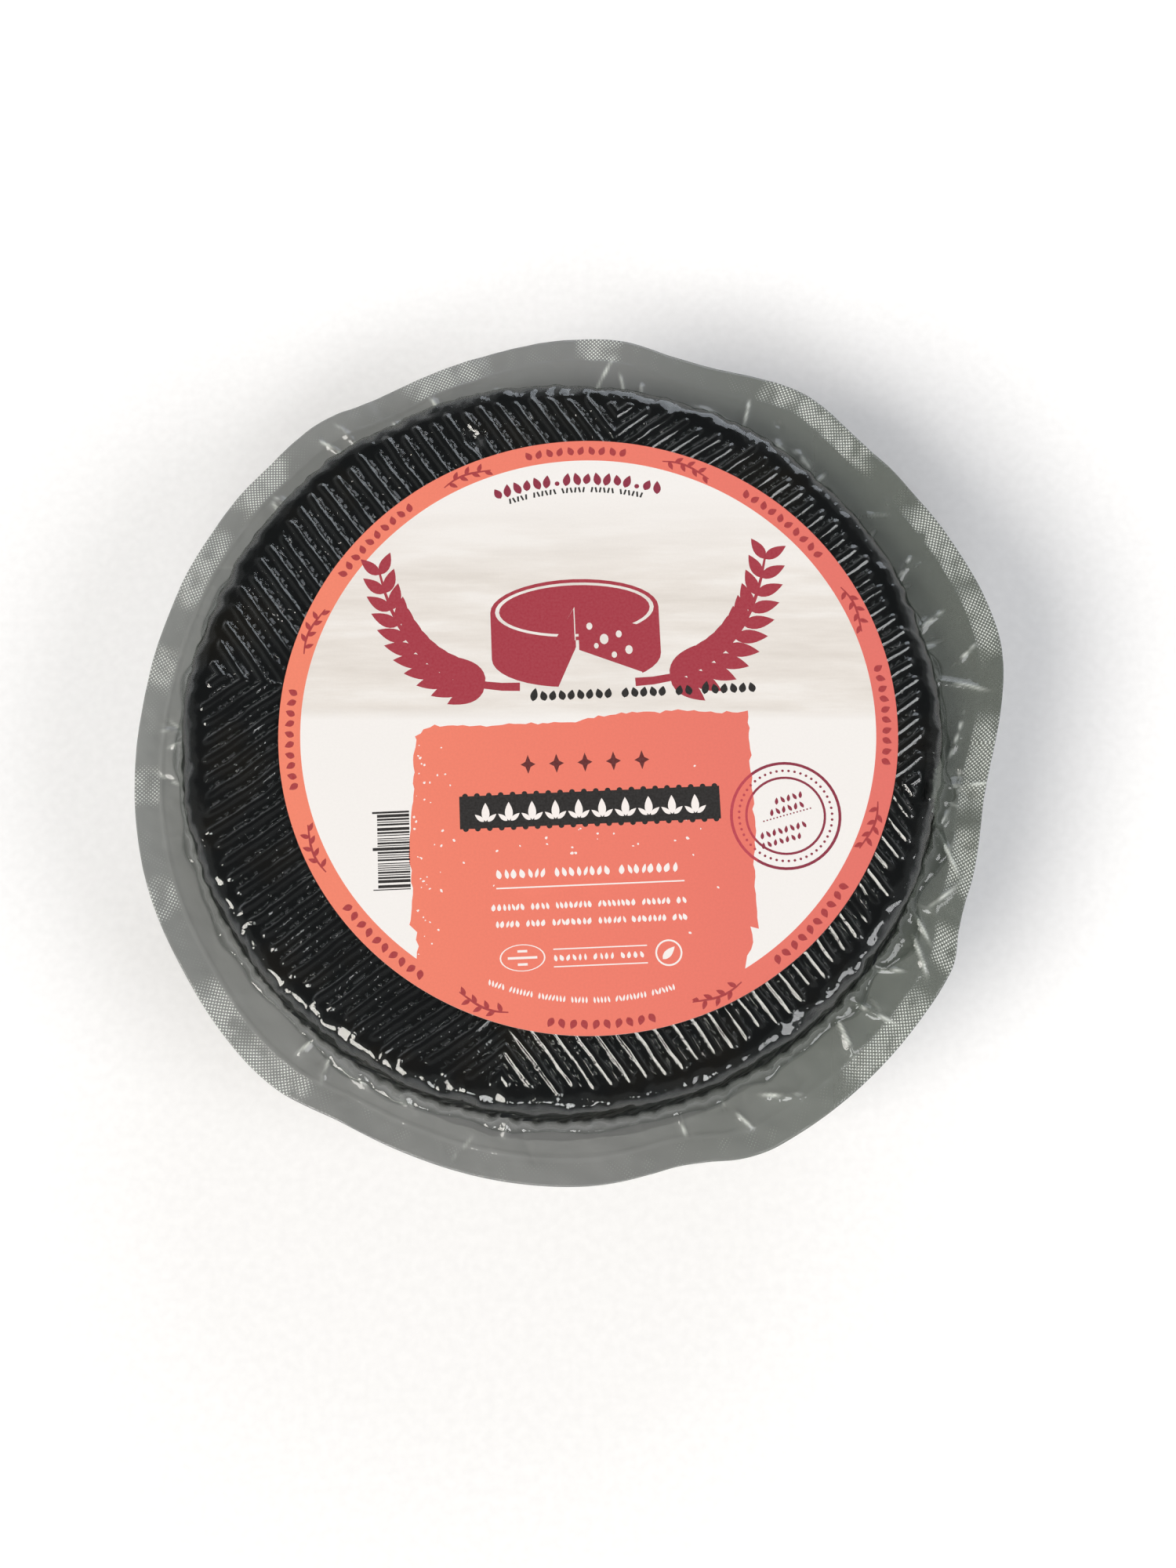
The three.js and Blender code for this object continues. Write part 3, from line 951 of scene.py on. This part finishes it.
def wheelPicture():
    # a plain cheese wheel with a wedge taken out, between two leafy branches
    cx, cy, a, b, tall = -2.5, 36.5, 25.0, 9.6, 14.5
    side = [(cx + a * math.cos(t), cy + b * math.sin(t)) for t in np.linspace(math.pi, 2 * math.pi, 21)]
    back = np.linspace(2 * math.pi, math.pi, 21)
    side += [(cx + a * math.cos(t), cy - tall + b * math.sin(t)) for t in back]
    lay("crimson", side)
    lay("crimson", disc(cx, cy, a, 40, b / a))
    lay("paper", disc(cx, cy, a - 1.4, 40, (b - 1.1) / (a - 1.4)))
    lay("crimson", disc(cx, cy, a - 2.6, 40, (b - 1.9) / (a - 2.6)))
    first, last = math.radians(-104), math.radians(-40)
    rim = [(cx + a * math.cos(t), cy + b * math.sin(t)) for t in np.linspace(first, last, 9)]
    heart = (cx, cy + 0.8)
    depth = tall * 0.86
    # the notch: white paper, then its two cut faces
    lay("paper", [heart] + rim + [(x, y - tall - 0.8) for x, y in rim[::-1]] + [(cx, cy + 0.8 - depth)])
    left, right = rim[0], rim[-1]
    lay("crimson", [(cx - 0.3, cy + 0.2), (left[0] - 0.1, left[1]), (left[0] - 0.1, left[1] - tall),
                    (cx - 0.3, cy - depth)])
    lay("crimson", [(cx + 0.9, cy - 0.2), (right[0], right[1] + 0.5), (right[0], right[1] - tall + 0.4),
                    (cx + 0.9, cy - depth - 0.2)])
    for x, y, r in ((4.2, -5.4, 0.9), (8.4, -9.6, 1.3), (12.8, -8.2, 0.9), (6.0, -11.6, 0.7),
                    (15.6, -13.2, 1.1), (11.2, -14.6, 0.8)):
        lay("paper", disc(cx + x, cy + y, r, 12, 1.25))
    for mirror in (-1, 1):
        stem = bentStem((cx + mirror * 17, 13.2), (cx + mirror * 50, 13.0), (cx + mirror * 57.5, 50.0), 12)
        lay("crimson", strokeShape(stem, [2.6 - 0.16 * i for i in range(13)]))
        for i in range(2, 13):
            x, y = stem[i]
            ax, ay = stem[i - 1]
            along = math.degrees(math.atan2(y - ay, x - ax))
            size = 1.12 - 0.04 * i
            lay("crimson", placed(leafShape(12.0, 5.2, mirror * 0.8), x, y, along + 38, size))
            lay("crimson", placed(leafShape(12.0, 5.2, -mirror * 0.8), x, y, along - 42, size))


def captionRow():
    # four groups of small dark grains
    x = -15.4
    for count, first in ((9, 4.2), (5, 3.2), (2, 3.2), (6, 4.2)):
        for i in range(count):
            height = first if i == 0 else 3.2
            lay("black", placed(grainShape(2.15, height), x, 8.5 + height / 2, 14 if i % 2 else -14))
            x += 2.72
        x += 2.3


def blockPrint():
    # the coral block with torn edges, worn through in small specks
    dice = np.random.default_rng(61)
    corners = [(-50.6, -0.4), (-46.4, 2.1), (-3.3, 1.7), (8.1, 3.8), (27.8, 4.0), (34.3, 3.2),
               (47.2, 2.6), (46.7, -14), (47.0, -32), (45.6, -48), (45.9, -62), (43.4, -61.4), (44.2, -66),
               (42.2, -69.6), (41.2, -74), (24, -82.4), (0, -85.6), (-24, -82.4), (-50, -69.4),
               (-51.4, -68.2), (-51.5, -59.2), (-53.4, -57), (-52.3, -47.6), (-53.1, -35), (-51.6, -18.6),
               (-51.1, -6), (-49.8, -1.4)]
    outline = []
    for (ax, ay), (bx, by) in zip(corners, corners[1:] + corners[:1]):
        ragged = 0.22 if ay > -70 and by > -70 else 0.0
        count = max(int(math.hypot(bx - ax, by - ay) / 1.6), 1)
        for i in range(count):
            t = i / count
            x = ax + (bx - ax) * t + dice.normal(0, ragged)
            y = ay + (by - ay) * t + dice.normal(0, ragged)
            outline.append((x, y))
    lay("coral", outline)
    for _ in range(70):
        near = dice.uniform()
        x = -52 + abs(dice.normal(0, 5)) if near < 0.55 else dice.uniform(-48, 44)
        low, high = (-66, -2) if near < 0.55 else (-40, -28) if near < 0.85 else (-66, 0)
        y = dice.uniform(low, high)
        size = dice.uniform(0.16, 0.5)
        speck = [(px * dice.uniform(0.6, 1.5), py * dice.uniform(0.5, 1.1)) for px, py in disc(0, 0, size, 6)]
        lay("knockout", placed(speck, x, y, dice.uniform(0, 180)))


def bandPrint():
    # a row of maroon stars, and under it a black band with scalloped edges and white leaves
    for i in range(5):
        x = -18.0 + i * 8.3
        star = [(0, 2.9), (0.75, 0.8), (2.2, 0), (0.75, -0.8)]
        star += [(-x2, -y2) for x2, y2 in star]
        lay("maroon", placed(star, x, -10.6))
    top = [(x, -19.4) for x in np.linspace(-38.3, 37.2, 2)]
    lay("black", [(-38.3, -29.2), (37.2, -29.2)] + top[::-1])
    for i in range(22):
        x = -36.6 + i * 3.45
        lay("black", disc(x, -19.4, 0.85, 10))
        lay("black", disc(x, -29.2, 0.85, 10))
    for i in range(10):
        x = -30.8 + i * 6.75
        lay("knockout", placed(leafShape(5.6, 2.3), x, -27.2, 90))
        lay("knockout", placed(leafShape(3.4, 1.35), x + 0.5, -27.2, 40))
        lay("knockout", placed(leafShape(3.4, 1.35), x - 0.5, -27.2, 140))


def finePrint():
    # rows of grains and dashes, an oval, a ring and an arc of dashes, all in white
    dice = np.random.default_rng(62)

    def row(x, y, end, height, letters, gap):
        while x < end:
            for _ in range(letters + int(dice.integers(-2, 3))):
                width = height * dice.uniform(0.34, 0.6)
                if x > end:
                    break
                lay("knockout", placed(grainShape(width, height), x, y, dice.uniform(-25, 25)))
                x += width + gap
            x += height * 0.7

    row(-27.6, -43, 25.2, 2.9, 7, 0.75)
    lay("knockout", [(-28.4, -47.3), (25.6, -47.3), (25.6, -46.9), (-28.4, -46.9)])
    row(-29.4, -52.7, 26, 2.1, 6, 0.42)
    row(-28.4, -57.6, 25.6, 2.1, 6, 0.42)
    layRing("knockout", -21.6, -67.5, 6.3, 0.4, 14, 0.6)
    for dy, half in ((1.9, 1.4), (0, 4.2), (-1.9, 1.4)):
        bar = [(-half, -0.35), (half, -0.35), (half, 0.35), (-half, 0.35)]
        lay("knockout", placed(bar, -21.6, -67.5 + dy))
    for y in (-65.4, -70.45):
        lay("knockout", [(-12.8, y - 0.17), (13.9, y - 0.17), (13.9, y + 0.17), (-12.8, y + 0.17)])
    row(-12.2, -67.95, 13.4, 2.0, 6, 0.7)
    layRing("knockout", 20.0, -67.8, 3.6, 0.5, 14)
    lay("knockout", placed(leafShape(5.0, 2.1), 18.2, -69.6, 45))
    at = -112.8
    while at < -73.4:
        for _ in range(int(dice.integers(5, 11))):
            x, y = onArc(80.4, at)
            lay("knockout", placed(grainShape(0.62, 1.9), x, y, at + 90 + dice.uniform(-20, 20)))
            at += 0.72
            if at > -73.4:
                break
        at += 0.9


def edgeBars():
    # a stack of plain bars of mixed thickness
    dice = np.random.default_rng(63)
    y = -46.2
    while y < -23.4:
        thick = float(dice.choice([0.3, 0.3, 0.6, 0.9]))
        left = -63.6 if y < -45.6 or -34.9 < y < -34.1 or y > -24.2 else -62.2
        lay("black", [(left, y), (-52.9, y), (-52.9, y + thick), (left, y + thick)])
        y += thick + float(dice.choice([0.3, 0.34, 0.6]))


def sealPrint():
    # a round stamp of rings and dots, half on the block and half on white paper
    cx, cy = 55.9, -29.2

    def ink(x):
        return "wine" if x > 46.9 else "sealOnCoral"

    edge = 46.9
    for radius, line in ((15.7, 0.85), (11.35, 0.7)):
        split = math.degrees(math.acos(max(min((edge - cx) / radius, 1), -1)))
        lay("wine", arcBand(cx, cy, radius - line / 2, radius + line / 2, -split, split, 40))
        if split < 179:
            lay("sealOnCoral", arcBand(cx, cy, radius - line / 2, radius + line / 2, split, 360 - split, 14))
    for i in range(48):
        t = 2 * math.pi * i / 48
        x, y = cx + 13.45 * math.cos(t), cy + 13.45 * math.sin(t)
        lay(ink(x), disc(x, y, 0.42, 6))
    for i in range(15):
        lay("wine", disc(49.5 + 0.98 * i, -30.6 + 0.236 * i, 0.27, 6))
    for y, count, height in ((-24.2, 5, 2.2), (-27.2, 6, 2.2), (-33.2, 8, 2.2), (-36.2, 7, 2.0)):
        for i in range(count):
            x = cx + (i - (count - 1) / 2) * 1.75 + 0.24 * (y + 29)
            lay("wine", placed(grainShape(1.0, height), x, y + 0.236 * (x - cx), 13 + (18 if i % 2 else -18)))


def inkMaterial(name, code, worn, gloss):
    # offset ink on coated label paper: even colour with a faint fibre mottle, soft sheen
    material, tree = newMaterial(name)
    place = addNode(tree, "ShaderNodeTexCoord").outputs["Object"]
    mottle = addNode(tree, "ShaderNodeTexNoise", {"Scale": 1 / 0.0007, "Detail": 4.0}, {"Vector": place})
    dark, light = [toLinear(code)[:3] for _ in range(2)]
    ramp = addNode(tree, "ShaderNodeValToRGB", links={"Fac": mottle.outputs["Fac"]})
    ramp.color_ramp.elements[0].position = 0.3
    ramp.color_ramp.elements[0].color = tuple(c * (1 - worn) for c in dark) + (1.0,)
    ramp.color_ramp.elements[1].position = 0.7
    ramp.color_ramp.elements[1].color = tuple(c + (1 - c) * worn * 0.4 for c in light) + (1.0,)
    bump = addNode(tree, "ShaderNodeBump", {"Strength": 0.12, "Distance": 0.00005},
                   {"Height": mottle.outputs["Fac"]})
    rough = addNode(tree, "ShaderNodeMapRange", {"To Min": gloss, "To Max": gloss + 0.12},
                    {"Value": mottle.outputs["Fac"]})
    shader = addNode(tree, "ShaderNodeBsdfPrincipled", {"IOR": 1.48}, {
        "Base Color": ramp.outputs["Color"], "Roughness": rough.outputs["Result"],
        "Normal": bump.outputs["Normal"]})
    addNode(tree, "ShaderNodeOutputMaterial", links={"Surface": shader.outputs["BSDF"]})
    return material, tree, ramp, shader


def coralMaterial():
    # the coral ink leans to orange on one side of the label and to pink on the other, and is painted darker
    # towards the pink side (+X) as painted shade
    material, tree, ramp, shader = inkMaterial("coral offset ink on paper", "#ffffff", 0.05, 0.45)
    place = addNode(tree, "ShaderNodeTexCoord").outputs["Object"]
    split = addNode(tree, "ShaderNodeSeparateXYZ", links={"Vector": place})
    across = addNode(tree, "ShaderNodeMapRange", {"From Min": -0.08, "From Max": 0.1},
                     {"Value": split.outputs["X"]})
    # lighter to darker towards +X: the darkening is painted shade
    tone = addNode(tree, "ShaderNodeValToRGB", links={"Fac": across.outputs["Result"]},
                   stops=[(0.0, "#e67f65"), (0.5, "#e27663"), (1.0, "#d86c62")])
    mixed = addNode(tree, "ShaderNodeMix", {0: 1.0}, data_type="RGBA", blend_type="MULTIPLY", links={
        6: tone.outputs["Color"], 7: ramp.outputs["Color"]})
    tree.links.new(mixed.outputs[2], shader.inputs["Base Color"])
    return material


def paperMaterial():
    # white coated label paper, tinted on its upper half with pale streaks like far hills
    material, tree, ramp, shader = inkMaterial("white coated label paper", "#e6e3df", 0.02, 0.5)
    place = addNode(tree, "ShaderNodeTexCoord").outputs["Object"]
    flat = addNode(tree, "ShaderNodeMapping", {
        "Location": (-labelCentre.x * mm, -labelCentre.y * mm, 0), "Scale": (1, 1, 0)}, {"Vector": place})
    streaks = addNode(tree, "ShaderNodeMapping", {"Rotation": (0, 0, -label["turn"]),
                                                 "Scale": (1 / 0.05, 1 / 0.007, 1)},
                      {"Vector": flat.outputs["Vector"]})
    cloud = addNode(tree, "ShaderNodeTexNoise", {"Scale": 1.0, "Detail": 5.0, "Roughness": 0.6},
                    {"Vector": streaks.outputs["Vector"]})
    tint = addNode(tree, "ShaderNodeValToRGB", links={"Fac": cloud.outputs["Fac"]},
                   stops=[(0.36, "#fbfaf8"), (0.5, "#f3f0ec"), (0.66, "#eae6e1")])
    split = addNode(tree, "ShaderNodeSeparateXYZ", links={"Vector": flat.outputs["Vector"]})
    upper = addNode(tree, "ShaderNodeMapRange", {"From Min": 0.002, "From Max": 0.006},
                    {"Value": split.outputs["Y"]})
    fade = addNode(tree, "ShaderNodeMapRange", {"From Min": 0.075, "From Max": 0.045},
                   {"Value": split.outputs["Y"]})
    amount = addNode(tree, "ShaderNodeMath", links={0: upper.outputs["Result"], 1: fade.outputs["Result"]},
                     operation="MULTIPLY")
    mixed = addNode(tree, "ShaderNodeMix", data_type="RGBA", blend_type="MULTIPLY", links={
        0: amount.outputs["Value"], 6: ramp.outputs["Color"], 7: tint.outputs["Color"]})
    tree.links.new(mixed.outputs[2], shader.inputs["Base Color"])
    return material


def buildLabel():
    borderPrint()
    landscapeRow()
    wheelPicture()
    captionRow()
    blockPrint()
    bandPrint()
    finePrint()
    edgeBars()
    sealPrint()
    verts, faces = [], []
    rim = disc(0, 0, labelRadius, 240)
    outlines = [rim] + [outline for _, outline in printed]
    for outline in outlines:
        faces.append(list(range(len(verts), len(verts) + len(outline))))
        verts += [Vector(p) for p in outline]
    reach = int(labelRadius / label["gridStep"])
    for i in range(-reach, reach + 1):
        for j in range(-reach, reach + 1):
            x, y = (i + 0.5 * (j % 2)) * label["gridStep"], j * label["gridStep"]
            if math.hypot(x, y) < labelRadius - 1:
                verts.append(Vector((x, y)))
    cut = delaunay_2d_cdt(verts, [], faces, 0, 1e-5)
    flat, triangles = np.array([tuple(v) for v in cut[0]]), cut[2]
    middles = flat[np.array(triangles)].mean(axis=1)
    ink = inkUnder(middles[:, 0], middles[:, 1]).tolist()
    cos, sin = math.cos(label["turn"]), math.sin(label["turn"])
    x = labelCentre.x + flat[:, 0] * cos - flat[:, 1] * sin
    y = labelCentre.y + flat[:, 0] * sin + flat[:, 1] * cos
    wave = unevenness(np.stack([x, y], -1), 11.0, 64) * label["wave"]
    low = np.stack([x, y, pack["height"] + label["lift"] + wave], -1)
    high = low + (0, 0, label["thickness"])
    count = len(flat)
    points = np.concatenate([high, low])
    allFaces = [tuple(t) for t in triangles] + [tuple(count + i for i in reversed(t)) for t in triangles]
    material = list(ink) + [0] * len(triangles)
    seen = {}
    for t in triangles:
        for a, b in zip(t, list(t[1:]) + [t[0]]):
            seen[(a, b)] = True
    for a, b in seen:
        if (b, a) not in seen:
            allFaces.append((b, a, a + count, b + count))
            material.append(0)
    names = [
        paperMaterial(),
        coralMaterial(),
        inkMaterial("crimson offset ink on paper", "#9c2c3a", 0.05, 0.45)[0],
        inkMaterial("brick red ink over coral", "#a03033", 0.06, 0.45)[0],
        inkMaterial("wine red offset ink on paper", "#842038", 0.05, 0.45)[0],
        inkMaterial("wine red ink over coral", "#b23a48", 0.05, 0.45)[0],
        inkMaterial("black offset ink on paper", "#1c1917", 0.04, 0.42)[0],
        inkMaterial("maroon ink over coral", "#5c1a1a", 0.05, 0.45)[0],
        inkMaterial("unprinted white in the print", "#eae3de", 0.03, 0.5)[0],
    ]
    print("label triangles:", len(triangles), "shapes:", len(printed))
    piece = meshPiece("paper_label_printed", points, allFaces, "paper_label", names,
                      material, weld=False)
    return piece


buildLabel()
print("label made")


# Floor, camera and light

stage = {
    "floorSize": 14.0,
    "floorDrop": 0.0002,
    "aim": (7.65, -16.85, 85.0),  # millimetres: what the camera looks at
    "elevation": 75.1,
    "distance": 600.0,
    "lens": 47.4,
    # soft lights far away: compass angle, elevation, angular size, strength, colour
    "lights": {
        "window": (218, 47, 28, 2.2, "#fffaf4"),
        "east": (-28, 42, 26, 0.9, "#fdfcff"),
        "north": (75, 26, 36, 0.7, "#eef4ff"),
        "south": (268, 46, 15, 0.5, "#ffffff"),
    },
}


def buildFloor():
    # matt white paper sweep
    mesh = bpy.data.meshes.new("floor")
    half = stage["floorSize"] / 2
    corners = [(-half, -half), (half, -half), (half, half), (-half, half)]
    mesh.from_pydata([(x, y, -stage["floorDrop"]) for x, y in corners], [], [(0, 1, 2, 3)])
    floor = bpy.data.objects.new("floor", mesh)
    bpy.context.scene.collection.objects.link(floor)
    material, tree = newMaterial("matt white paper sweep")
    place = addNode(tree, "ShaderNodeTexCoord").outputs["Object"]
    fibre = addNode(tree, "ShaderNodeTexNoise", {"Scale": 1 / 0.003}, {"Vector": place})
    tone = addNode(tree, "ShaderNodeValToRGB", links={"Fac": fibre.outputs["Fac"]},
                   stops=[(0.3, "#f4f4f3"), (0.7, "#f8f8f7")])
    shader = addNode(tree, "ShaderNodeBsdfPrincipled", {"Roughness": 0.9, "IOR": 1.45},
                     {"Base Color": tone.outputs["Color"]})
    addNode(tree, "ShaderNodeOutputMaterial", links={"Surface": shader.outputs["BSDF"]})
    mesh.materials.append(material)


def buildCamera():
    data = bpy.data.cameras.new("camera")
    data.lens = stage["lens"]
    camera = bpy.data.objects.new("camera", data)
    turn = math.radians(stage["elevation"])
    away = Vector((0, -math.cos(turn), math.sin(turn))) * stage["distance"]
    camera.location = (Vector(stage["aim"]) + away) * mm
    camera.rotation_euler = (math.pi / 2 - turn, 0, 0)
    bpy.context.scene.collection.objects.link(camera)
    bpy.context.scene.camera = camera


def addSoftLight(name, compass, elevation, size, strength, code):
    data = bpy.data.lights.new(name, "SUN")
    data.angle = math.radians(size)
    data.energy = strength
    data.color = toLinear(code)[:3]
    light = bpy.data.objects.new(name, data)
    across, up = math.radians(compass), math.radians(elevation)
    direction = Vector((math.cos(across) * math.cos(up), math.sin(across) * math.cos(up), math.sin(up)))
    light.location = direction * 2
    light.rotation_euler = direction.to_track_quat("Z", "Y").to_euler()
    bpy.context.scene.collection.objects.link(light)


def buildWorld():
    # a room that is bright round the horizon and dim above, with a darker patch nearly overhead
    world = bpy.data.worlds.new("studio room")
    world.use_nodes = True
    tree = world.node_tree
    tree.nodes.clear()
    direction = addNode(tree, "ShaderNodeTexCoord").outputs["Generated"]
    split = addNode(tree, "ShaderNodeSeparateXYZ", links={"Vector": direction})
    climb = addNode(tree, "ShaderNodeMapRange",
                    {"From Min": 0.1, "From Max": 0.6, "To Min": 1.05, "To Max": 0.22},
                    {"Value": split.outputs["Z"]}, interpolation_type="SMOOTHSTEP")
    toward = addNode(tree, "ShaderNodeVectorMath", {1: (-0.02, 0.27, 0.963)}, {0: direction},
                     operation="DOT_PRODUCT")
    patch = addNode(tree, "ShaderNodeMapRange",
                    {"From Min": 0.82, "From Max": 0.95, "To Min": 1.0, "To Max": 0.3},
                    {"Value": toward.outputs["Value"]}, interpolation_type="SMOOTHSTEP")
    strength = addNode(tree, "ShaderNodeMath", links={0: climb.outputs["Result"], 1: patch.outputs["Result"]},
                       operation="MULTIPLY")
    background = addNode(tree, "ShaderNodeBackground", {"Color": toLinear("#fbfcff")},
                         {"Strength": strength.outputs["Value"]})
    addNode(tree, "ShaderNodeOutputWorld", links={"Surface": background.outputs["Background"]})
    bpy.context.scene.world = world


buildFloor()
buildCamera()
for lightName, values in stage["lights"].items():
    addSoftLight(lightName, *values)
buildWorld()
bpy.context.scene.view_settings.view_transform = "Standard"
print("floor, camera and light made")
